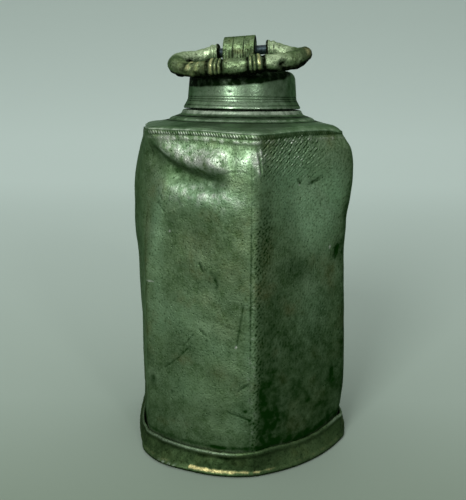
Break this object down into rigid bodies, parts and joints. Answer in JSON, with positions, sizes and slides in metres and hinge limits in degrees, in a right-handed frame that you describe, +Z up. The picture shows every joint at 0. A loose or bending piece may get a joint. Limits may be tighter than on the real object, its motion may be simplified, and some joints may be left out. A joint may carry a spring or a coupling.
{
  "type": "screw flask",
  "caption": "Six-sided pewter flask with bowed, dented walls on a flared foot, closed by a threaded cap that carries a swinging baluster ring.",
  "frame": {"origin": "on the table, in the middle of the foot's outline", "axes": "+Z up along the neck, -Y square to the panel with the long crease, +X to that panel's right"},
  "size_m": [0.1301, 0.1307, 0.2201],
  "materials": {
    "pewter_wall": "dull oxidised pewter, greenish grey, pitted and scratched",
    "pewter_foot": "dark oxidised pewter, worn bright along the lower edge",
    "pewter_cap": "turned pewter, satin, with fine turned lines",
    "pewter_ring": "cast pewter, dark in the hollows and rubbed yellowish on the beads",
    "iron_pin": "dark bluish iron",
    "leather_seal": "old brown leather"
  },
  "bodies": {
    "flask": {"wall_panel_1": "pewter_wall", "wall_panel_2": "pewter_wall", "wall_panel_3": "pewter_wall", "wall_panel_4": "pewter_wall", "wall_panel_5": "pewter_wall", "wall_panel_6": "pewter_wall", "foot_strip_1": "pewter_foot", "foot_strip_2": "pewter_foot", "foot_strip_3": "pewter_foot", "foot_strip_4": "pewter_foot", "foot_strip_5": "pewter_foot", "foot_strip_6": "pewter_foot", "base_plate": "pewter_foot", "shoulder": "pewter_cap", "neck": "pewter_cap"},
    "washer": {"seal": "leather_seal"},
    "screw_cap": {"cap": "pewter_cap", "knuckle": "pewter_ring"},
    "swing_ring": {"ring": "pewter_ring", "hinge_pin": "iron_pin"}
  },
  "joints": [
    {"name": "cap_lift", "type": "slide", "parent": "flask", "child": "washer", "axis": [0, 0, 1], "range_m": [0, 0.0201]},
    {"name": "cap_turn", "type": "hinge", "parent": "washer", "child": "screw_cap", "pos_m": [0, 0, 0.19], "axis": [0, 0, 1], "range_deg": [0, 1440]},
    {"name": "ring_swing", "type": "hinge", "parent": "screw_cap", "child": "swing_ring", "pos_m": [-0.00146, -0.00036, 0.2123], "axis": [-0.9674, -0.2412, -0.0767], "range_deg": [0, 215]}
  ],
  "couplings": [
    {"joint": "cap_lift", "follows": "cap_turn", "m_per_rad": 0.00079577}
  ]
}
